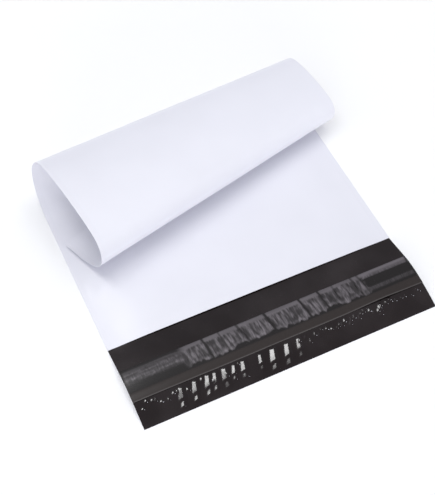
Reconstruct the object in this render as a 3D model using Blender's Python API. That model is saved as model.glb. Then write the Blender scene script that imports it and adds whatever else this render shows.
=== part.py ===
"""A flat mailing bag of thin coextruded film, lying open on its back.

The flap lies open towards -Y. The closed end of the bag is turned up and rolled over forward, in a
slightly cone-shaped roll that is taller on the left (-X) than on the right. The film can only bend and
not stretch, so the roll is the flat bag wrapped round a cone whose tip lies in the plane of the bag.

Metres, +Z up. The origin is the middle of the footprint, on the surface that the bag lies on.
"""

import math

import bmesh
import bpy
import numpy as np

# The bag, flat
BAG_WIDTH = 0.1524
BAG_LENGTH = 0.2286  # mouth to closed end
FLAP_LENGTH = 0.0444
FILM = 0.000065
SEAM = 0.003  # width of the side welds
END_CREASE = 0.0006  # the pressed fold at the closed end
POCKET_GAP = 0.0006  # how far the front panel stands off the back panel
POCKET_SLOPE = 0.016  # the gap grows to its full height over this distance from a seam

# The flap's closure, as distances from the mouth along the flap
GLUE_START, GLUE_END, GLUE_THICK = 0.0144, 0.0264, 0.0001
LINER_START, LINER_END, LINER_THICK = 0.0141, 0.0314, 0.00006
CLEARANCE = 0.0003  # kept between two pieces that touch
FLAP_ARCH = 0.0034
FLAP_ARCH_POWER = 1.2

# The cone that the closed end is rolled on
CONE_TIP = (0.390, 0.155)  # seen from the middle of the mouth
ROLL_START = 0.088  # where the roll starts on the bag's centre line, from the mouth
ROLL_STEPS = 1600
# How far along the film, and the radius it is bent to there; the bend changes evenly in between
STRAIGHT = math.inf
ROLL_BENDS = (
    (0.0, STRAIGHT),
    (0.010, 0.0185),
    (0.022, 0.0185),
    (0.028, 0.012),
    (0.044, 0.012),
    (0.054, 0.110),
    (0.083, 0.110),
    (0.091, 0.0098),
    (0.1065, 0.0098),
    (0.114, 0.026),
    (0.122, 0.048),
    (0.134, 0.060),
    (0.142, 0.015),
    (0.170, 0.015),
)

# How finely each stretch is divided
COLUMNS_INSIDE = 12
SLOPE_COLUMN = 0.010  # the first column inside a seam ends this far from the bag's edge
FLAP_ROWS, PANEL_ROWS, ROLL_ROWS = 10, 4, 46
FLAT_END = 0.070  # no part of the roll starts nearer to the mouth than this
STRIP_ROWS = 4
MERGE = 1e-7


def clear_scene():
    for obj in list(bpy.data.objects):
        bpy.data.objects.remove(obj, do_unlink=True)


def material(name, colour, roughness, alpha=1.0):
    made = bpy.data.materials.new(name)
    made.use_nodes = True
    shader = made.node_tree.nodes["Principled BSDF"]
    shader.inputs["Base Color"].default_value = (*colour, 1.0)
    shader.inputs["Roughness"].default_value = roughness
    shader.inputs["Metallic"].default_value = 0.0
    shader.inputs["Alpha"].default_value = alpha
    return made


class ConeRoll:
    """The rolled shape of a sheet: every line from the cone's tip stays straight, at its own length."""

    def __init__(self):
        self.tip = np.array([*CONE_TIP, 0.0])
        first = np.array([0.0, ROLL_START, 0.0]) - self.tip
        self.mid_radius = np.linalg.norm(first)
        self.first = first / self.mid_radius
        self.onward = np.array([self.first[1], -self.first[0], 0.0])
        self.angles, self.lines, self.normals = self.wrap()

    def wrap(self):
        """Turns a line step by step round the tip, bending the sheet upwards as ROLL_BENDS says."""
        reach = ROLL_BENDS[-1][0]
        along = np.linspace(0.0, reach, ROLL_STEPS)
        stations = [distance for distance, _ in ROLL_BENDS]
        bends = [1.0 / radius for _, radius in ROLL_BENDS]
        bend = np.interp(along, stations, bends) * self.mid_radius
        step = along[1] / self.mid_radius
        line, onward = self.first, self.onward
        lines, normals = [line], [np.cross(onward, line)]
        for middle in (bend[1:] + bend[:-1]) / 2:
            up = np.cross(onward, line)
            axis = -up - middle * line
            turn = np.linalg.norm(axis) * step
            line, onward = (rotate(vector, axis, turn) for vector in (line, onward))
            lines.append(line)
            normals.append(np.cross(onward, line))
        return along / self.mid_radius, np.array(lines), np.array(normals)

    def place(self, across, along, height):
        """Where a point of the flat sheet ends up; height is measured from the sheet's lower face."""
        flat = np.array([across, along, 0.0]) - self.tip
        angle = math.atan2(flat @ self.onward, flat @ self.first)
        if angle <= 0.0:
            return np.array([across, along, height])
        distance = np.linalg.norm(flat)
        line, normal = (
            np.array([np.interp(angle, self.angles, column) for column in table.T])
            for table in (self.lines, self.normals)
        )
        return self.tip + distance * line + height * normal / np.linalg.norm(normal)


def rotate(vector, axis, turn):
    axis = axis / np.linalg.norm(axis)
    side = np.cross(axis, vector)
    return vector * math.cos(turn) + side * math.sin(turn) + axis * (axis @ vector) * (1 - math.cos(turn))


def place_on_flap(across, along, height):
    """The open flap rises from the mouth in a low arch and comes down again at its free edge."""
    share = -along / FLAP_LENGTH
    arch = FLAP_ARCH * max(math.sin(math.pi * share), 0.0) ** FLAP_ARCH_POWER
    return np.array([across, along, arch + height])


def stretch(start, end, count):
    """The ends of count equal steps from start to end, without start itself."""
    return [start + (end - start) * (i + 1) / count for i in range(count)]


def columns():
    edge = BAG_WIDTH / 2
    inner = [edge - SEAM, edge - SLOPE_COLUMN]
    return [-edge, *(-x for x in inner), *stretch(-inner[1], inner[1], COLUMNS_INSIDE), inner[0], edge]


def bag_rows():
    """Distances from the mouth, with the flap's rows below zero."""
    flap = [-FLAP_LENGTH] + stretch(-FLAP_LENGTH, 0.0, FLAP_ROWS)
    panel = stretch(0.0, FLAT_END, PANEL_ROWS)
    return flap + panel + stretch(FLAT_END, BAG_LENGTH - END_CREASE, ROLL_ROWS) + [BAG_LENGTH]


def slab(bm, across, along, bottom, top):
    """A flat slab whose faces are divided at the given places. Returns its vertices."""
    grid = bmesh.ops.create_grid(bm, x_segments=len(across) - 1, y_segments=len(along) - 1, size=1.0)
    lower = grid["verts"]
    for vert in lower:
        column = round((vert.co.x + 1) / 2 * (len(across) - 1))
        row = round((vert.co.y + 1) / 2 * (len(along) - 1))
        vert.co = (across[column], along[row], bottom)
    faces = list(dict.fromkeys(face for vert in lower for face in vert.link_faces))
    raised = bmesh.ops.extrude_face_region(bm, geom=faces, use_keep_orig=True)["geom"]
    upper = [item for item in raised if isinstance(item, bmesh.types.BMVert)]
    for vert in upper:
        vert.co.z = top
    return lower + upper


def pocket_gap(across, along):
    """How far the front panel stands off the back panel: nothing at the welds, an even gap inside."""
    inside = min(BAG_WIDTH / 2 - SEAM - abs(across), BAG_LENGTH - END_CREASE - along)
    share = min(max(inside / POCKET_SLOPE, 0.0), 1.0)
    return POCKET_GAP * math.sin(share * math.pi / 2)


def in_weld(face):
    """Whether a face lies in the side welds or the pressed fold at the closed end."""
    middle = face.calc_center_median()
    return abs(middle.x) > BAG_WIDTH / 2 - SEAM or middle.y > BAG_LENGTH - END_CREASE


def link(name, bm, mat, collection):
    mesh = bpy.data.meshes.new(name)
    bm.to_mesh(mesh)
    bm.free()
    mesh.materials.append(mat)
    mesh.shade_smooth()
    mesh.set_sharp_from_angle(angle=math.radians(40))
    obj = bpy.data.objects.new(name, mesh)
    collection.objects.link(obj)
    return obj


def make_bag(roll, mat, collection):
    """One web of film: the back panel runs on into the flap, and the front panel is welded on it."""
    bm = bmesh.new()
    rows = bag_rows()
    slab(bm, columns(), rows, 0.0, FILM)
    front = slab(bm, columns(), [row for row in rows if row > -MERGE], FILM, 2 * FILM)
    level = [face for face in bm.faces if all(abs(vert.co.z - FILM) < MERGE for vert in face.verts)]
    joined = [face for face in level if in_weld(face) and face.calc_center_median().y > 0.0]
    bmesh.ops.delete(bm, geom=joined, context="FACES")
    for vert in front:
        vert.co.z += pocket_gap(vert.co.x, vert.co.y)
    bmesh.ops.remove_doubles(bm, verts=bm.verts, dist=MERGE)
    for vert in bm.verts:
        across, along, height = vert.co
        if along < 0.0:
            vert.co = place_on_flap(across, along, height)
        else:
            vert.co = roll.place(across, along, height)
    return link("bag_film", bm, mat, collection)


def make_strip(name, start, end, lift, thickness, mat, collection):
    """A thin strip across the whole flap, lying on its inner face."""
    bm = bmesh.new()
    rows = [-end] + stretch(-end, -start, STRIP_ROWS)
    bottom = FILM + lift
    for vert in slab(bm, columns(), rows, bottom, bottom + thickness):
        vert.co = place_on_flap(*vert.co)
    return link(name, bm, mat, collection)


def centre_on_footprint(objects):
    """Moves the meshes together, so that the origin is the middle of their footprint."""
    points = np.array([vert.co for obj in objects for vert in obj.data.vertices])
    middle = (points.min(axis=0) + points.max(axis=0)) / 2
    for obj in objects:
        for vert in obj.data.vertices:
            vert.co.x -= middle[0]
            vert.co.y -= middle[1]


def main():
    clear_scene()
    collection = bpy.data.collections.new("poly_mailer_bag")
    bpy.context.scene.collection.children.link(collection)
    film = material("film", (0.82, 0.82, 0.90), 0.35)
    glue = material("adhesive", (0.10, 0.095, 0.10), 0.45)
    liner = material("liner", (0.16, 0.155, 0.16), 0.30, alpha=0.6)
    objects = [
        make_bag(ConeRoll(), film, collection),
        make_strip("adhesive_strip", GLUE_START, GLUE_END, CLEARANCE, GLUE_THICK, glue, collection),
        make_strip(
            "release_liner",
            LINER_START,
            LINER_END,
            2 * CLEARANCE + GLUE_THICK,
            LINER_THICK,
            liner,
            collection,
        ),
    ]
    centre_on_footprint(objects)


main()
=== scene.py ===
import math

import bpy
import numpy as np
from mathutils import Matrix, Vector


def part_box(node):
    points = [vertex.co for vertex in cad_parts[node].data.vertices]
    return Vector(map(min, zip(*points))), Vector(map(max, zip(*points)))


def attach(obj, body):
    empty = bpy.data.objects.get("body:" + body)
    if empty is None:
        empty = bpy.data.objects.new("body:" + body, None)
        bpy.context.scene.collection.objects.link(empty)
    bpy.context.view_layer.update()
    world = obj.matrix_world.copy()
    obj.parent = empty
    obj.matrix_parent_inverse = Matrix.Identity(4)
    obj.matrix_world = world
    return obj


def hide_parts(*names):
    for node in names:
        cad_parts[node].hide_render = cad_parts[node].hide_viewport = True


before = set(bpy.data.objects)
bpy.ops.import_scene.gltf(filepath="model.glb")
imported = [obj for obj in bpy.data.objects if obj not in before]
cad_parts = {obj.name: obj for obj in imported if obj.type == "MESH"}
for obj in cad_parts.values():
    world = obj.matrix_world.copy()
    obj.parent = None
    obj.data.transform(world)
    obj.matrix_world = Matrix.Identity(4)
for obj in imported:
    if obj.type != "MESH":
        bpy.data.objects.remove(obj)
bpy.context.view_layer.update()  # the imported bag: film web, glue strip and peel liner
filmLow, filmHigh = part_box("bag_film")
linerLow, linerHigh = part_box("release_liner")
mm = 0.001

# The bag as it is cut and welded. "Across" runs over its width, "along" from the mouth to the closed end,
# and the flap is at negative along.
bag = {
    "width": 152.4 * mm,
    "length": 228.6 * mm,  # mouth to closed end
    "flap": 44.4 * mm,
    "film": 0.065 * mm,  # 2.5 mil
    "weld": 3.0 * mm,  # side seal
    "endFold": 0.6 * mm,  # pressed fold at the closed end
}
halfWidth = bag["width"] / 2
mouth = Vector(((linerLow.x + linerHigh.x) / 2, filmLow.y + bag["flap"], 0.0))


def toLinear(hexColour):
    parts = [int(hexColour[i:i + 2], 16) / 255 for i in (1, 3, 5)]
    return (*(c / 12.92 if c <= 0.04045 else ((c + 0.055) / 1.055) ** 2.4 for c in parts), 1.0)


def addNode(tree, kind, inputs=None, **settings):
    node = tree.nodes.new(kind)
    for name, value in settings.items():
        setattr(node, name, value)
    for socket, value in (inputs or {}).items():
        if isinstance(value, bpy.types.NodeSocket):
            tree.links.new(value, node.inputs[socket])
        else:
            node.inputs[socket].default_value = value
    return node


def softNoise(across, along, cellAcross, cellAlong, seed):
    # smooth random values from -1 to 1, one for each cell of that size
    lattice = np.random.default_rng(seed).uniform(-1, 1, (64, 64))
    p, q = across / cellAcross + 32, along / cellAlong + 32
    i, j = np.floor(p).astype(int), np.floor(q).astype(int)
    s, t = p - i, q - j
    s, t = s * s * (3 - 2 * s), t * t * (3 - 2 * t)
    near = lattice[i % 64, j % 64] * (1 - s) + lattice[(i + 1) % 64, j % 64] * s
    far = lattice[i % 64, (j + 1) % 64] * (1 - s) + lattice[(i + 1) % 64, (j + 1) % 64] * s
    return near * (1 - t) + far * t


def ramp(value, start, end):
    share = np.clip((value - start) / (end - start), 0, 1)
    return share * share * (3 - 2 * share)


def stretches(*runs):
    # places along a line: each run is (start, end, step)
    parts = [np.linspace(a, b, max(1, round(abs(b - a) / step)), endpoint=False) for a, b, step in runs]
    return np.append(np.concatenate(parts), runs[-1][1])


def quads(index, turned=False):
    faces = np.stack([index[:-1, :-1], index[:-1, 1:], index[1:, 1:], index[1:, :-1]], -1).reshape(-1, 4)
    return (faces[:, ::-1] if turned else faces).tolist()


def cellsOf(row, split=1):
    # the points of each cell along a row, where a cell spans this many steps
    cells = (len(row) - 1) // split
    return row[np.arange(cells)[:, None] * split + np.arange(split + 1)]


def bridge(lower, upper, turned=False):
    faces = np.concatenate([lower, upper[:, ::-1]], 1)
    return (faces[:, ::-1] if turned else faces).tolist()


def makeMesh(name, points, faces, attributes=()):
    mesh = bpy.data.meshes.new(name)
    mesh.from_pydata(points.tolist(), [], faces)
    for label, kind, domain, values in attributes:
        field = {"FLOAT_VECTOR": "vector", "FLOAT": "value", "BOOLEAN": "value"}[kind]
        mesh.attributes.new(label, kind, domain).data.foreach_set(field, np.asarray(values).ravel())
    mesh.shade_smooth()
    mesh.set_sharp_from_angle(angle=math.radians(50))
    obj = bpy.data.objects.new(name, mesh)
    bpy.context.scene.collection.objects.link(obj)
    return obj


# Rolling up: the closed end is wrapped round a cone whose tip lies in the plane of the bag. A line from the
# tip keeps its length, so the film only bends.
roll = {
    "coneTip": (390 * mm, 155 * mm),  # from the middle of the mouth
    "start": 88 * mm,  # on the bag's centre line
    "steps": 1600,
    # distance along the film, and the radius it is bent to there
    "bends": (
        (0, math.inf), (10, 18.5), (22, 18.5), (28, 12), (44, 12), (54, 110), (83, 110), (91, 9.8),
        (106.5, 9.8), (114, 26), (122, 48), (134, 60), (142, 15), (170, 15),
    ),
}
coneTip = np.array([*roll["coneTip"], 0.0])
firstLine = np.array([0.0, roll["start"], 0.0]) - coneTip
middleRadius = np.linalg.norm(firstLine)
firstLine = firstLine / middleRadius
onwardLine = np.array([firstLine[1], -firstLine[0], 0.0])


def turned(vector, axis, angle):
    axis = axis / np.linalg.norm(axis)
    side = np.cross(axis, vector)
    return vector * math.cos(angle) + side * math.sin(angle) + axis * (axis @ vector) * (1 - math.cos(angle))


def makeWrapGuide():
    # a curve on the unit ball round the tip: its point at a length is the direction of the line at that angle
    stations = [distance * mm for distance, _ in roll["bends"]]
    bends = [1 / (radius * mm) for _, radius in roll["bends"]]
    along = np.linspace(0, stations[-1], roll["steps"])
    bend = np.interp(along, stations, bends) * middleRadius
    step = along[1] / middleRadius
    line, onward = firstLine, onwardLine
    lines = [line]
    for middle in (bend[1:] + bend[:-1]) / 2:
        axis = -np.cross(onward, line) - middle * line
        angle = np.linalg.norm(axis) * step
        line, onward = turned(line, axis, angle), turned(onward, axis, angle)
        lines.append(line)
    curve = bpy.data.curves.new("wrapGuide", "CURVE")
    curve.dimensions = "3D"
    spline = curve.splines.new("POLY")
    spline.points.add(len(lines) - 1)
    spline.points.foreach_set("co", np.column_stack([lines, np.ones(len(lines))]).ravel())
    guide = bpy.data.objects.new("wrapGuide", curve)
    bpy.context.scene.collection.objects.link(guide)
    return guide


def newTree(name, inputs):
    tree = bpy.data.node_groups.new(name, "GeometryNodeTree")
    tree.interface.new_socket("Geometry", in_out="INPUT", socket_type="NodeSocketGeometry")
    for label, kind in inputs:
        tree.interface.new_socket(label, in_out="INPUT", socket_type="NodeSocket" + kind)
    tree.interface.new_socket("Geometry", in_out="OUTPUT", socket_type="NodeSocketGeometry")
    return tree, addNode(tree, "NodeGroupInput").outputs


def endTree(tree, geometry, outside, inside):
    # white outer faces, black inner ones
    whole = addNode(tree, "GeometryNodeRealizeInstances", {"Geometry": geometry})
    white = addNode(tree, "GeometryNodeSetMaterial", {"Geometry": whole.outputs[0], "Material": outside})
    isInside = addNode(tree, "GeometryNodeInputNamedAttribute", {"Name": "inside"}, data_type="BOOLEAN")
    black = addNode(tree, "GeometryNodeSetMaterial", {
        "Geometry": white.outputs[0], "Selection": isInside.outputs["Attribute"], "Material": inside})
    addNode(tree, "NodeGroupOutput", {"Geometry": black.outputs[0]})


def addModifier(obj, tree, values):
    modifier = obj.modifiers.new(tree.name, "NODES")
    modifier.node_group = tree
    for item in tree.interface.items_tree:
        if item.in_out == "INPUT" and item.name in values:
            modifier[item.identifier] = values[item.name]


def settle(obj):
    # turns the result of the modifiers into the object's own plain mesh
    bpy.context.view_layer.update()
    graph = bpy.context.evaluated_depsgraph_get()
    mesh = bpy.data.meshes.new_from_object(obj.evaluated_get(graph), depsgraph=graph)
    obj.modifiers.clear()
    if obj.type == "MESH":
        obj.data = mesh
        return obj
    name = obj.name
    bpy.data.objects.remove(obj)
    made = bpy.data.objects.new(name, mesh)
    bpy.context.scene.collection.objects.link(made)
    return made


def makeRollTree():
    tree, given = newTree("rollUp", (
        ("Guide", "Object"), ("Cone Tip", "Vector"), ("First Line", "Vector"), ("Onward", "Vector"),
        ("Mouth", "Vector"), ("Outside", "Material"), ("Inside", "Material")))
    here = addNode(tree, "GeometryNodeInputPosition").outputs[0]
    parts = addNode(tree, "ShaderNodeSeparateXYZ", {0: here}).outputs
    flat = addNode(tree, "ShaderNodeCombineXYZ", {0: parts[0], 1: parts[1]}).outputs[0]
    arm = addNode(tree, "ShaderNodeVectorMath", {0: flat, 1: given["Cone Tip"]}, operation="SUBTRACT").outputs[0]
    ahead = addNode(tree, "ShaderNodeVectorMath", {0: arm, 1: given["First Line"]}, operation="DOT_PRODUCT")
    aside = addNode(tree, "ShaderNodeVectorMath", {0: arm, 1: given["Onward"]}, operation="DOT_PRODUCT")
    angle = addNode(
        tree, "ShaderNodeMath", {0: aside.outputs["Value"], 1: ahead.outputs["Value"]}, operation="ARCTAN2")
    reach = addNode(tree, "ShaderNodeVectorMath", {0: arm}, operation="LENGTH").outputs["Value"]
    guide = addNode(tree, "GeometryNodeObjectInfo", {"Object": given["Guide"]}).outputs["Geometry"]
    sample = addNode(
        tree, "GeometryNodeSampleCurve", {"Curves": guide, "Length": angle.outputs[0]},
        mode="LENGTH", use_all_curves=True).outputs
    up = addNode(
        tree, "ShaderNodeVectorMath", {0: sample["Tangent"], 1: sample["Position"]},
        operation="CROSS_PRODUCT").outputs[0]
    line = addNode(
        tree, "ShaderNodeVectorMath", {0: sample["Position"], "Scale": reach}, operation="SCALE").outputs[0]
    rise = addNode(tree, "ShaderNodeVectorMath", {0: up, "Scale": parts[2]}, operation="SCALE").outputs[0]
    onLine = addNode(tree, "ShaderNodeVectorMath", {0: line, 1: given["Cone Tip"]}, operation="ADD").outputs[0]
    rolled = addNode(tree, "ShaderNodeVectorMath", {0: onLine, 1: rise}, operation="ADD").outputs[0]
    past = addNode(
        tree, "FunctionNodeCompare", {"A": angle.outputs[0], "B": 0.0},
        data_type="FLOAT", operation="GREATER_THAN").outputs[0]
    chosen = addNode(
        tree, "GeometryNodeSwitch", {"Switch": past, "False": here, "True": rolled},
        input_type="VECTOR").outputs[0]
    placed = addNode(tree, "ShaderNodeVectorMath", {0: chosen, 1: given["Mouth"]}, operation="ADD").outputs[0]
    moved = addNode(
        tree, "GeometryNodeSetPosition", {"Geometry": given["Geometry"], "Position": placed}).outputs[0]
    endTree(tree, moved, given["Outside"], given["Inside"])
    return tree


wrapGuide = makeWrapGuide()
rollTree = makeRollTree()


def rollUp(obj, outside, inside):
    addModifier(obj, rollTree, {
        "Guide": wrapGuide, "Cone Tip": tuple(coneTip), "First Line": tuple(firstLine),
        "Onward": tuple(onwardLine), "Mouth": tuple(mouth), "Outside": outside, "Inside": inside})
    return settle(obj)


# Materials. Every pattern follows the flat film, in millimetres, through the attribute "flat".
film = {
    "white": "#E9E9F1",  # titanium-white polyethylene with a touch of blue
    "whiteShade": "#E6E6EE",
    "weldWhite": "#E7E7EF",
    "black": "#150B0C",  # carbon black
    "blackWorn": "#261F20",
    "whiteRoughness": 0.37,
    "blackRoughness": 0.22,
    "refraction": 1.46,
    "blackShine": 0.37,
    "grain": 0.7,  # mm; real cast film is finer, drawn as coarse as it needs to show
    "dieLine": 1.6,  # mm between the faint lines that the extruder leaves across the bag
}


def newMaterial(name):
    made = bpy.data.materials.new(name)
    made.use_nodes = True
    made.node_tree.nodes.clear()
    return made, made.node_tree


def flatPlace(tree, stretchAcross=1.0, stretchAlong=1.0):
    # the point's place on the flat film in millimetres, pressed together by the given shares
    place = addNode(tree, "ShaderNodeAttribute", attribute_name="flat").outputs["Vector"]
    scale = (stretchAcross / mm, stretchAlong / mm, 1 / mm)
    return addNode(tree, "ShaderNodeVectorMath", {0: place, 1: scale}, operation="MULTIPLY").outputs[0]


def noiseOf(tree, place, size, detail=3.0, roughness=0.5):
    return addNode(
        tree, "ShaderNodeTexNoise",
        {"Vector": place, "Scale": 1 / size, "Detail": detail, "Roughness": roughness}).outputs["Fac"]


def between(tree, value, low, high, start=0.0, end=1.0):
    return addNode(
        tree, "ShaderNodeMapRange", {0: value, 1: low, 2: high, 3: start, 4: end}, clamp=True).outputs[0]


def mixColour(tree, share, first, second):
    node = addNode(tree, "ShaderNodeMix", data_type="RGBA")
    for socket, value in ((0, share), (6, first), (7, second)):
        if isinstance(value, bpy.types.NodeSocket):
            tree.links.new(value, node.inputs[socket])
        else:
            node.inputs[socket].default_value = value
    return node.outputs[2]


def makeWhiteFilm():
    made, tree = newMaterial("whiteFilm")
    place = flatPlace(tree)
    cloud = noiseOf(tree, place, 38.0, 2.0)
    streak = noiseOf(tree, flatPlace(tree, 0.03, 1.0), film["dieLine"], 2.0)
    grain = noiseOf(tree, place, film["grain"], 2.0)
    tone = mixColour(tree, between(tree, cloud, 0.35, 0.7), toLinear(film["white"]), toLinear(film["whiteShade"]))
    across = addNode(tree, "ShaderNodeSeparateXYZ", {0: place}).outputs[0]
    side = addNode(tree, "ShaderNodeMath", {0: across}, operation="ABSOLUTE").outputs[0]
    weld = between(tree, side, (halfWidth - bag["weld"]) / mm, (halfWidth - bag["weld"]) / mm + 0.3)
    tone = mixColour(tree, weld, tone, toLinear(film["weldWhite"]))
    rough = addNode(tree, "ShaderNodeMath", {0: between(tree, streak, 0.3, 0.7, -0.05, 0.05), 1: film["whiteRoughness"]})
    height = addNode(tree, "ShaderNodeMath", {0: grain, 1: 0.35, 2: streak}, operation="MULTIPLY_ADD")
    bump = addNode(tree, "ShaderNodeBump", {"Height": height.outputs[0], "Strength": 0.12, "Distance": 0.05 * mm})
    shader = addNode(tree, "ShaderNodeBsdfPrincipled", {
        "Base Color": tone, "Roughness": rough.outputs[0], "IOR": film["refraction"], "Normal": bump.outputs[0]})
    addNode(tree, "ShaderNodeOutputMaterial", {"Surface": shader.outputs[0]})
    return made


def makeBlackFilm():
    made, tree = newMaterial("blackFilm")
    place = flatPlace(tree)
    cloud = noiseOf(tree, place, 30.0, 3.0)
    streak = noiseOf(tree, flatPlace(tree, 0.03, 1.0), film["dieLine"], 3.0)
    tone = mixColour(tree, between(tree, cloud, 0.4, 0.75), toLinear(film["black"]), toLinear(film["blackWorn"]))
    rough = between(tree, cloud, 0.3, 0.7, film["blackRoughness"] - 0.03, film["blackRoughness"] + 0.05)
    along = addNode(tree, "ShaderNodeSeparateXYZ", {0: place}).outputs[1]
    margin = between(tree, along, -31.4, -32.4)
    crinkle = noiseOf(tree, flatPlace(tree, 1.0, 0.45), 1.5, 2.0)
    crinkled = addNode(tree, "ShaderNodeMath", {0: crinkle, 1: margin}, operation="MULTIPLY")
    height = addNode(tree, "ShaderNodeMath", {0: crinkled.outputs[0], 1: 1.0, 2: streak}, operation="MULTIPLY_ADD")
    bump = addNode(tree, "ShaderNodeBump", {"Height": height.outputs[0], "Strength": 0.08, "Distance": 0.05 * mm})
    shader = addNode(tree, "ShaderNodeBsdfPrincipled", {
        "Base Color": tone, "Roughness": rough, "IOR": film["refraction"], "Specular IOR Level": film["blackShine"],
        "Normal": bump.outputs[0]})
    addNode(tree, "ShaderNodeOutputMaterial", {"Surface": shader.outputs[0]})
    return made


whiteFilm = makeWhiteFilm()
blackFilm = makeBlackFilm()
print("film materials made")

# The flap: it rises from the mouth in a low arch, and its free margin is puckered where the glue strip
# has drawn the film together.
flap = {
    "arch": 3.4 * mm,
    "archPower": 1.2,
    "wave": 0.25 * mm,
    "puckerStart": 31.9 * mm,  # from the mouth
    "puckerSlope": 0.36,  # rise of the side that faces left
    "seed": 5,
    # the large puckers: place across, width and length in millimetres
    "largePuckers": (
        (-53.0, 2.7, 6.6), (-45.6, 2.7, 6.6), (-39.2, 2.8, 6.8), (-35.4, 2.4, 6.0), (-30.6, 2.9, 6.8),
        (-26.0, 2.2, 5.0), (-21.4, 2.7, 5.8), (-12.6, 2.3, 5.4), (-5.6, 3.4, 7.4), (2.0, 3.2, 7.4), (8.0, 2.6, 6.6),
        (51.5, 2.2, 4.0),
    ),
    "glowSlope": 0.25,  # of the softer pucker that follows a large one
    # stretches of small ones: from, to, spacing, width and length
    "smallPuckers": (
        (-73, -56, 2.6, 1.2, 1.6),
        (-56, -20, 6.1, 1.2, 1.6),
        (8, 30, 2.4, 1.3, 1.9),
        (30, 58, 1.9, 1.4, 2.2),
        (58, 74, 2.6, 1.1, 1.4),
    ),
}


def makePuckers():
    rng = np.random.default_rng(flap["seed"])
    made = []
    for middle, width, length in flap["largePuckers"]:
        start, lean = flap["puckerStart"] + rng.uniform(0.2, 0.9) * mm, rng.uniform(-0.32, -0.18)
        made.append({
            "across": middle * mm,
            "start": start,
            "length": length * mm,
            "width": width * mm,
            "lean": lean,
            "slope": flap["puckerSlope"],
        })
        made.append({
            "across": (middle + lean * length) * mm,
            "start": start + 0.95 * length * mm,
            "length": 0.5 * length * mm,
            "width": 0.9 * width * mm,
            "lean": lean,
            "slope": flap["glowSlope"],
        })
    for start, end, spacing, width, length in flap["smallPuckers"]:
        for middle in np.arange(start, end, spacing):
            made.append({
                "across": (middle + rng.uniform(-0.35, 0.35) * spacing) * mm,
                "start": flap["puckerStart"] + rng.uniform(0, 3.5) * mm,
                "length": length * rng.uniform(0.6, 1.3) * mm,
                "width": width * rng.uniform(0.7, 1.25) * mm,
                "lean": rng.uniform(-0.35, 0.05),
                "slope": flap["puckerSlope"] * rng.uniform(0.8, 1.15),
            })
    return made


puckers = makePuckers()


def flapLift(across, along):
    out = np.clip(-along, 0, bag["flap"])
    arch = np.sin(np.pi * out / bag["flap"])
    lift = flap["arch"] * np.clip(arch, 0, 1) ** flap["archPower"]
    lift = lift + flap["wave"] * arch * softNoise(across, out, 34 * mm, 22 * mm, 3)
    wobble = 0.25 * mm * softNoise(across, out, 5 * mm, 2.6 * mm, 77)
    for p in puckers:
        share = np.clip((out - p["start"]) / p["length"], 0, 1)
        body = np.minimum(1, 10 * share) * np.minimum(1, 6 * (1 - share))
        widening = 0.7 + 0.3 * share
        offset = (across + wobble - p["across"] - p["lean"] * (out - p["start"])) / (p["width"] * widening)
        # the left side rises slowly and the right side drops steeply
        ridge = np.clip(np.minimum(1 + offset, 1 - 1.8 * offset), 0, 1)
        lift = lift + p["slope"] * p["width"] * widening * body * ridge
    return lift


# The film web: back panel and flap in one piece, front panel welded on at the sides
pocket = {
    "gap": 0.6 * mm,  # how far the front panel stands off the back panel
    "slope": 20 * mm,
    "rollDent": 0.12 * mm,
    "weldPucker": 0.10 * mm,
    "creases": ((-66, 41, 12, 0.30), (-60, 36, 9, 0.22)),  # across, along, length, height in mm, by the roll's tip
}


def pocketGap(across, along):
    inside = np.minimum(halfWidth - bag["weld"] - np.abs(across), bag["length"] - bag["endFold"] - along)
    share = np.clip(inside / pocket["slope"], 0, 1)
    gap = pocket["gap"] * share * share * (3 - 2 * share)
    gap = gap * (1 + 0.25 * softNoise(across, along, 26 * mm, 18 * mm, 8))
    ripple = softNoise(across, along, 40 * mm, 5 * mm, 12) * np.exp(-inside / (9 * mm))
    return gap + pocket["weldPucker"] * ripple * np.clip(inside / (2 * mm), 0, 1)


def panelLift(across, along):
    # the roll's film is very slightly uneven, in long dents across the bag
    on = ramp(along, 112 * mm, 130 * mm)
    return pocket["rollDent"] * on * softNoise(across, along, 55 * mm, 11 * mm, 21)


def frontCrease(across, along):
    lift = np.zeros_like(across)
    for middle, start, length, height in pocket["creases"]:
        a, b = across / mm - middle, along / mm - start
        run, side = (a + b) * 0.7071, (a - b) * 0.7071
        lift = lift + height * mm * np.exp(-((run / length) ** 2) - (side / 1.6) ** 2)
    return lift


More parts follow.
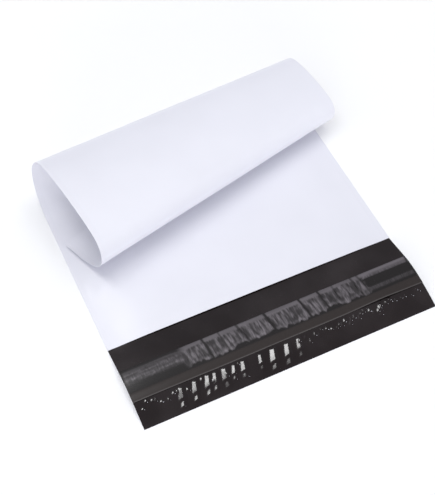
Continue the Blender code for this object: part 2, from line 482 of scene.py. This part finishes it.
def makeBagFilm():
    weld, thick, split = bag["weld"], bag["film"], 3
    half = stretches((-halfWidth, -halfWidth + weld, 1.0 * mm), (-halfWidth + weld, 0, 1.3 * mm))
    columns = np.concatenate([half, -half[-2::-1]])
    steps = np.arange(split * (len(columns) - 1) + 1) / split
    fineColumns = np.interp(steps, np.arange(len(columns)), columns)
    flapRows = stretches((-bag["flap"], -30 * mm, 0.45 * mm), (-30 * mm, -10 * mm, 1.8 * mm), (-10 * mm, 0, 1.4 * mm))
    endRow = bag["length"] - bag["endFold"]
    rows = stretches(
        (0, 2 * mm, 0.7 * mm), (2 * mm, 80 * mm, 3.2 * mm), (80 * mm, endRow, 1.6 * mm), (endRow, bag["length"], 1 * mm))
    points = []

    def addGrid(across, along, height):
        first = sum(len(part) for part in points)
        points.append(np.stack([across, along, height], -1).reshape(-1, 3))
        return np.arange(first, first + across.size).reshape(across.shape)

    across, along = np.meshgrid(fineColumns, flapRows)
    base = flapLift(across, along)
    flapUnder, flapInner = addGrid(across, along, base), addGrid(across, along, base + thick)
    across, along = np.meshgrid(columns, rows)
    base = panelLift(across, along)
    welded = (np.abs(across) > halfWidth - weld - 1e-7) | (along > endRow - 1e-7)
    gap = np.where(welded, 0, np.clip(pocketGap(across, along), 0, None) + frontCrease(across, along))
    under, inner, lining, front = (
        addGrid(across, along, base + rise) for rise in (0, thick, thick + gap, 2 * thick + gap))
    under[0], inner[0] = flapUnder[-1, ::split], flapInner[-1, ::split]
    lining[welded] = inner[welded]
    sealed = round(weld / mm)
    pocket = (slice(1, -1), slice(sealed, -sealed))
    mouthUnder, mouthInner = cellsOf(flapUnder[-1], split), cellsOf(flapInner[-1], split)
    openCells = slice(sealed, -sealed)
    outside = quads(flapUnder, True) + bridge(mouthUnder, cellsOf(under[1]), True) + quads(under[1:], True)
    outside += quads(front)
    outside += quads(np.stack([flapUnder[0], flapInner[0]]))
    outside += quads(np.stack([under[-1], inner[-1]]), True) + quads(np.stack([inner[-1], front[-1]]), True)
    lip = cellsOf(front[0])
    for sealedCells in (slice(0, sealed), slice(-sealed, None)):
        outside += bridge(mouthInner[sealedCells], lip[sealedCells])
    outside += bridge(cellsOf(lining[0])[openCells], lip[openCells])
    for column, turned in ((0, True), (-1, False)):
        for lower, upper in ((flapUnder, flapInner), (under, inner), (inner, front)):
            outside += quads(np.stack([lower[:, column], upper[:, column]]), turned)
    inside = quads(flapInner) + bridge(mouthInner[openCells], cellsOf(inner[1])[openCells])
    inside += quads(inner[pocket]) + quads(lining[0:-1, sealed:-sealed], True)
    faces = outside + inside
    points = np.concatenate(points)
    used = np.unique(np.concatenate([np.ravel(face) for face in faces]))
    renumber = np.full(len(points), -1)
    renumber[used] = np.arange(len(used))
    faces = [[int(renumber[corner]) for corner in face] for face in faces]
    isInside = np.arange(len(faces)) >= len(outside)
    obj = makeMesh("bagFilm", points[used], faces, (
        ("flat", "FLOAT_VECTOR", "POINT", points[used]), ("inside", "BOOLEAN", "FACE", isInside)))
    return rollUp(obj, whiteFilm, blackFilm)


bagFilm = makeBagFilm()
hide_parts("bag_film")
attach(bagFilm, "root")
print("film web made:", len(bagFilm.data.polygons), "faces")

# The weld beads: the hot knife that cuts a bag off leaves a fine melted bead along each side
bead = {"radius": 0.13 * mm, "uneven": 0.05 * mm, "spacing": 1.2 * mm, "sides": 6}


def makeBeadTree():
    tree, given = newTree("weldBead", (
        ("Start", "Vector"), ("End", "Vector"), ("Radius", "Float"), ("Uneven", "Float"), ("Spacing", "Float"),
        ("Sides", "Int"), ("Seed", "Float"), ("Material", "Material")))
    line = addNode(tree, "GeometryNodeCurvePrimitiveLine", {"Start": given["Start"], "End": given["End"]})
    path = addNode(
        tree, "GeometryNodeResampleCurve", {"Curve": line.outputs[0], "Length": given["Spacing"]}, mode="LENGTH")
    here = addNode(tree, "GeometryNodeInputPosition").outputs[0]
    noise = addNode(
        tree, "ShaderNodeTexNoise", {"Vector": here, "W": given["Seed"], "Scale": 400.0}, noise_dimensions="4D")
    centred = addNode(tree, "ShaderNodeMath", {0: noise.outputs["Fac"], 1: 0.5}, operation="SUBTRACT")
    swell = addNode(tree, "ShaderNodeMath", {0: centred.outputs[0], 1: given["Uneven"], 2: given["Radius"]},
                    operation="MULTIPLY_ADD")
    sized = addNode(
        tree, "GeometryNodeSetCurveRadius", {"Curve": path.outputs[0], "Radius": swell.outputs[0]})
    ring = addNode(tree, "GeometryNodeCurvePrimitiveCircle", {"Resolution": given["Sides"], "Radius": 1.0})
    tube = addNode(tree, "GeometryNodeCurveToMesh", {
        "Curve": sized.outputs[0], "Profile Curve": ring.outputs[0], "Scale": swell.outputs[0],
        "Fill Caps": True})
    flat = addNode(tree, "GeometryNodeInputPosition").outputs[0]
    marked = addNode(tree, "GeometryNodeStoreNamedAttribute", {
        "Geometry": tube.outputs[0], "Name": "flat", "Value": flat}, data_type="FLOAT_VECTOR", domain="POINT")
    whole = addNode(tree, "GeometryNodeRealizeInstances", {"Geometry": marked.outputs[0]})
    done = addNode(tree, "GeometryNodeSetMaterial", {
        "Geometry": whole.outputs[0], "Material": given["Material"]})
    addNode(tree, "NodeGroupOutput", {"Geometry": done.outputs[0]})
    return tree


def makeWeldBead(name, side, tree):
    start = Vector((side * halfWidth, 0.2 * mm, bead["radius"]))
    end = Vector((side * halfWidth, bag["length"] - 0.3 * mm, bead["radius"]))
    obj = makeMesh(name, np.array([start, end]), [])
    addModifier(obj, tree, {
        "Start": tuple(start), "End": tuple(end), "Radius": bead["radius"], "Uneven": bead["uneven"],
        "Spacing": bead["spacing"], "Sides": bead["sides"], "Seed": 3.0 + side, "Material": whiteFilm})
    made = rollUp(obj, whiteFilm, blackFilm)
    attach(made, "root")
    return made


beadTree = makeBeadTree()
for beadName, beadSide in (("weldBeadLeft", -1), ("weldBeadRight", 1)):
    makeWeldBead(beadName, beadSide, beadTree)
print("weld beads made")

# The closure: a band of hot-melt glue on the flap's black face, under a thin peel liner with a dry margin
glue = {
    "start": 14.4 * mm,  # from the mouth
    "end": 26.4 * mm,
    "thick": 0.05 * mm,
    "colour": "#262223",
    "roughness": 0.2,
}
liner = {
    "start": 14.1 * mm,
    "end": 31.4 * mm,
    "teethStart": 16.6 * mm,  # the air is combed into teeth from here on
    "thick": 0.04 * mm,
    "clear": 0.02 * mm,  # between the liner and what it lies on
    "wet": "#141010",  # where the liner is wetted by the glue
    "airy": "#6E686D",  # where air lies under it
    "dry": "#2A2321",
    # painted highlight: a lighter line along the liner's free edge, where the edge catches the light
    "edge": "#4A4645",
    "roughness": 0.3,
    "shine": 0.35,
    # the wetted slits between the patches of air: place across, width, slant and darkness
    "slits": (
        (-34.5, 0.9, 0.12, 0.9), (-26.0, 0.6, 0.14, 0.6), (-16.5, 0.9, 0.22, 0.75), (-1.8, 1.0, 0.14, 0.95),
        (16.6, 0.9, 0.14, 0.95), (26.8, 0.9, 0.12, 0.9), (34.5, 0.7, 0.08, 0.5), (45.0, 0.8, 0.14, 0.7),
        (48.6, 0.8, 0.14, 0.6),
    ),
    "ripple": 0.10 * mm,
    "seed": 17,
}


def airUnder(across, along):
    # how much air lies between liner and glue: an even strip along the top, and ragged teeth hanging from it
    u, out = across / mm, -along / mm
    leaned = across - 0.09 * (out - 15) * mm
    low = 25.2 + 0.9 * softNoise(leaned, along, 1.3 * mm, 400 * mm, 37) + 0.9 * softNoise(across, along, 6 * mm, 400 * mm, 38)
    body = ramp(out, 14.2, 14.7) * (1 - ramp(out, low - 0.5, low + 0.4))
    comb = softNoise(leaned, along, 0.7 * mm, 4.2 * mm, 41) + 0.5 * softNoise(leaned, along, 2.6 * mm, 2.6 * mm, 43)
    teeth = 0.16 + 0.62 * ramp(comb, -0.6, 0.7)
    foot = 0.25 * ramp(out, low - 2.0, low - 0.8)
    top = 0.68 + 0.10 * softNoise(across, along, 7 * mm, 0.9 * mm, 45)
    depth = liner["teethStart"] / mm + 0.7 * softNoise(across, along, 4 * mm, 400 * mm, 46)
    below = ramp(out, depth - 0.5, depth + 0.6)
    patch = body * (top * (1 - below) + (teeth + foot) * below)
    for place, wide, slant, dark in liner["slits"]:
        away = np.abs(u - place - slant * (out - 15) + 0.25 * softNoise(across, along, 30 * mm, 1.8 * mm, 47))
        patch = patch * (1 - dark * (1 - ramp(away, wide * 0.35, wide * 1.1)))
    streak = 0.5 + 0.5 * softNoise(across, along, 9 * mm, 0.55 * mm, 53)
    speck = ramp(softNoise(across, along, 1.3 * mm, 0.7 * mm, 54), 0.55, 0.85) * ramp(out, 18, 19)
    tail = ramp(out, 14.6, 17.0) * (1 - ramp(out, 20.5, 23.5)) * (0.12 + 0.42 * streak + 0.35 * speck)
    onLeft = 1 - ramp(u + 1.5 * softNoise(across, along, 60 * mm, 2 * mm, 59), -48, -43)
    strip = ramp(out, 14.2, 14.7) * (1 - ramp(out, 17.4, 18.0)) * (0.82 - 0.30 * ramp(out, 15.6, 16.2) * ramp(u, 52, 56))
    rightFoot = 0.22 * ramp(out, 22.8, 23.8) * (1 - ramp(out, 24.4, 26.0))
    onRight = ramp(u + 1.2 * softNoise(across, along, 60 * mm, 1.4 * mm, 61), 50, 51.5)
    air = patch * (1 - onLeft) * (1 - onRight) + tail * onLeft + (strip + rightFoot) * onRight
    return np.clip(air * (1 - ramp(np.abs(u), 74.5, 76)), 0, 1)


def makeStrip(name, start, end, low, high, stepAcross, stepAlong, attributes=None):
    # a closed strip over the whole flap, between the given heights above the film's inner face
    columns = stretches((-halfWidth, halfWidth, stepAcross))
    rows = stretches((-end, -start, stepAlong))
    across, along = np.meshgrid(columns, rows)
    base = flapLift(across, along) + bag["film"]
    lower, upper = low(across, along), high(across, along)
    flat = np.stack([across, along, base], -1)
    bottom, top = (np.stack([across, along, base + rise], -1).reshape(-1, 3) for rise in (lower, upper))
    index = np.arange(across.size).reshape(across.shape)
    above = index + across.size
    faces = quads(index, True) + quads(above)
    faces += quads(np.stack([index[0], above[0]])) + quads(np.stack([index[-1], above[-1]]), True)
    faces += quads(np.stack([index[:, 0], above[:, 0]]), True) + quads(np.stack([index[:, -1], above[:, -1]]))
    points = np.concatenate([bottom, top])
    extra = [(label, "FLOAT", "POINT", np.tile(rule(across, along).ravel(), 2)) for label, rule in attributes or ()]
    obj = makeMesh(name, points + np.array(mouth), faces, [("flat", "FLOAT_VECTOR", "POINT", points)] + extra)
    return obj


def glueTop(across, along):
    return glue["thick"] * (1 + 0.2 * softNoise(across, along, 20 * mm, 1.2 * mm, 51))


def linerBottom(across, along):
    out = -along
    onGlue = ramp(out, glue["start"] - 0.4 * mm, glue["start"]) * (1 - ramp(out, glue["end"], glue["end"] + 1.5 * mm))
    rise = liner["clear"] + 1.25 * glue["thick"] * onGlue
    ripple = liner["ripple"] * airUnder(across, along)
    loose = 0.35 * mm * ramp(out, 27 * mm, 31.4 * mm) * (0.5 + 0.5 * softNoise(across, along, 15 * mm, 30 * mm, 61))
    lifted = 0.9 * mm * ramp(out, 26 * mm, 31.4 * mm) * np.exp(-((across - 54 * mm) / (11 * mm)) ** 2)
    return rise + ripple + loose + lifted


def linerTop(across, along):
    return linerBottom(across, along) + liner["thick"]


def makeGlueMaterial():
    made, tree = newMaterial("hotMeltGlue")
    streak = noiseOf(tree, flatPlace(tree, 0.05, 1.0), 0.9, 3.0)
    bump = addNode(tree, "ShaderNodeBump", {"Height": streak, "Strength": 0.4, "Distance": 0.05 * mm})
    rough = between(tree, streak, 0.3, 0.7, glue["roughness"] - 0.05, glue["roughness"] + 0.1)
    shader = addNode(tree, "ShaderNodeBsdfPrincipled", {
        "Base Color": toLinear(glue["colour"]), "Roughness": rough, "IOR": 1.48, "Normal": bump.outputs[0]})
    addNode(tree, "ShaderNodeOutputMaterial", {"Surface": shader.outputs[0]})
    return made


def makeLinerMaterial():
    made, tree = newMaterial("peelLiner")
    place = flatPlace(tree)
    along = addNode(tree, "ShaderNodeSeparateXYZ", {0: place}).outputs[1]
    air = addNode(tree, "ShaderNodeAttribute", attribute_name="airGap").outputs["Fac"]
    fine = noiseOf(tree, flatPlace(tree, 1.0, 0.18), 0.7, 2.0, 0.6)
    inTeeth = between(tree, along, -liner["teethStart"] / mm + 0.6, -liner["teethStart"] / mm - 0.6)
    streaky = mixColour(tree, inTeeth, (1.0, 1.0, 1.0, 1.0), between(tree, fine, 0.36, 0.64, 0.45, 1.3))
    mottle = addNode(tree, "ShaderNodeMath", {0: air, 1: streaky}, operation="MULTIPLY")
    onGlue = mixColour(tree, mottle.outputs[0], toLinear(liner["wet"]), toLinear(liner["airy"]))
    isDry = between(tree, along, -glue["end"] / mm, -glue["end"] / mm - 1.0)
    tone = mixColour(tree, isDry, onGlue, toLinear(liner["dry"]))
    # a thin band at the liner's free edge gets the lighter colour: a painted highlight, not a colour of the liner
    # itself
    paintedEdgeHighlight = between(tree, along, -liner["end"] / mm + 0.7, -liner["end"] / mm + 0.3)
    tone = mixColour(tree, paintedEdgeHighlight, tone, toLinear(liner["edge"]))
    streak = noiseOf(tree, flatPlace(tree, 0.03, 1.0), 1.1, 3.0)
    bump = addNode(tree, "ShaderNodeBump", {"Height": streak, "Strength": 0.25, "Distance": 0.05 * mm})
    rough = between(tree, air, 0.0, 1.0, liner["roughness"] - 0.04, liner["roughness"] + 0.12)
    shader = addNode(tree, "ShaderNodeBsdfPrincipled", {
        "Base Color": tone, "Roughness": rough, "IOR": 1.5, "Specular IOR Level": liner["shine"],
        "Normal": bump.outputs[0]})
    addNode(tree, "ShaderNodeOutputMaterial", {"Surface": shader.outputs[0]})
    return made


glueBand = makeStrip(
    "glueBand", glue["start"], glue["end"], lambda a, b: np.full_like(a, 0.005 * mm), glueTop, 1.5 * mm, 0.9 * mm)
peelLiner = makeStrip(
    "peelLiner", liner["start"], liner["end"], linerBottom, linerTop, 0.32 * mm, 0.45 * mm, [("airGap", airUnder)])
for piece, node, material, slotName in (
    (glueBand, "adhesive_strip", makeGlueMaterial(), "adhesive"),
    (peelLiner, "release_liner", makeLinerMaterial(), "liner"),
):
    piece.data.materials.append(material)
    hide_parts(node)
    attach(piece, "root")
print("glue band and peel liner made")

# The studio: a pale table, a soft key light up on the left, a broad low fill in front
studio = {
    "table": "#FFFFFF",
    "tableSize": 4.0,
    "world": "#EFF1F7",
    "worldStrength": 0.68,
    # place from the middle of the table, size across and up, power, whether it lights matt and glossy surfaces
    "sparkle": ((-0.36, 0.36, 0.85), 0.40, 0.40, 14.5, False, True),
    "top": ((0.05, 0.30, 1.25), 1.3, 0.9, 7.6, True, False),
    "front": ((-0.40, -0.93, 0.15), 0.9, 0.28, 4.9, True, True),
}


def makeTable():
    side = studio["tableSize"] / 2
    table = makeMesh(
        "table", np.array([(-side, -side, 0), (side, -side, 0), (side, side, 0), (-side, side, 0)]) - (0, 0, 0.05 * mm),
        [(0, 1, 2, 3)])
    made, tree = newMaterial("tableTop")
    shader = addNode(tree, "ShaderNodeBsdfPrincipled", {
        "Base Color": toLinear(studio["table"]), "Roughness": 0.7, "Specular IOR Level": 0.2})
    addNode(tree, "ShaderNodeOutputMaterial", {"Surface": shader.outputs[0]})
    table.data.materials.append(made)


def makeLight(name):
    place, width, height, power, onMatt, onGloss = studio[name]
    light = bpy.data.lights.new(name, "AREA")
    light.shape, light.size, light.size_y, light.energy = "RECTANGLE", width, height, power
    obj = bpy.data.objects.new(name, light)
    obj.location = place
    obj.rotation_euler = (-Vector(place)).to_track_quat("-Z", "Y").to_euler()
    obj.visible_diffuse, obj.visible_glossy = onMatt, onGloss
    bpy.context.scene.collection.objects.link(obj)


def makeWorld():
    world = bpy.data.worlds.new("studioAir")
    world.use_nodes = True
    world.node_tree.nodes.clear()
    air = addNode(world.node_tree, "ShaderNodeBackground", {
        "Color": toLinear(studio["world"]), "Strength": studio["worldStrength"]})
    addNode(world.node_tree, "ShaderNodeOutputWorld", {"Surface": air.outputs[0]})
    bpy.context.scene.world = world


makeTable()
makeWorld()
for lightName in ("sparkle", "top", "front"):
    makeLight(lightName)

view = {
    "turn": -25.15,  # degrees, from straight in front of the flap to its left
    "rise": 55.46,
    "distance": 523.5 * mm,
    "lookAt": (-4.54 * mm, 31.48 * mm),  # from the middle of the mouth
    "lens": 76.0,
}


def makeCamera():
    turn, rise = math.radians(view["turn"]), math.radians(view["rise"])
    back = Vector((math.sin(turn) * math.cos(rise), -math.cos(turn) * math.cos(rise), math.sin(rise)))
    camera = bpy.data.cameras.new("camera")
    camera.lens, camera.sensor_width, camera.sensor_fit = view["lens"], 36.0, "AUTO"
    camera.clip_start, camera.clip_end = 0.01, 20.0
    obj = bpy.data.objects.new("camera", camera)
    obj.location = mouth + Vector((*view["lookAt"], 0.0)) + back * view["distance"]
    obj.rotation_euler = back.to_track_quat("Z", "Y").to_euler()
    bpy.context.scene.collection.objects.link(obj)
    bpy.context.scene.camera = obj


makeCamera()
bpy.context.scene.view_settings.view_transform = "Standard"
bpy.data.objects.remove(wrapGuide)
print("studio and camera made")
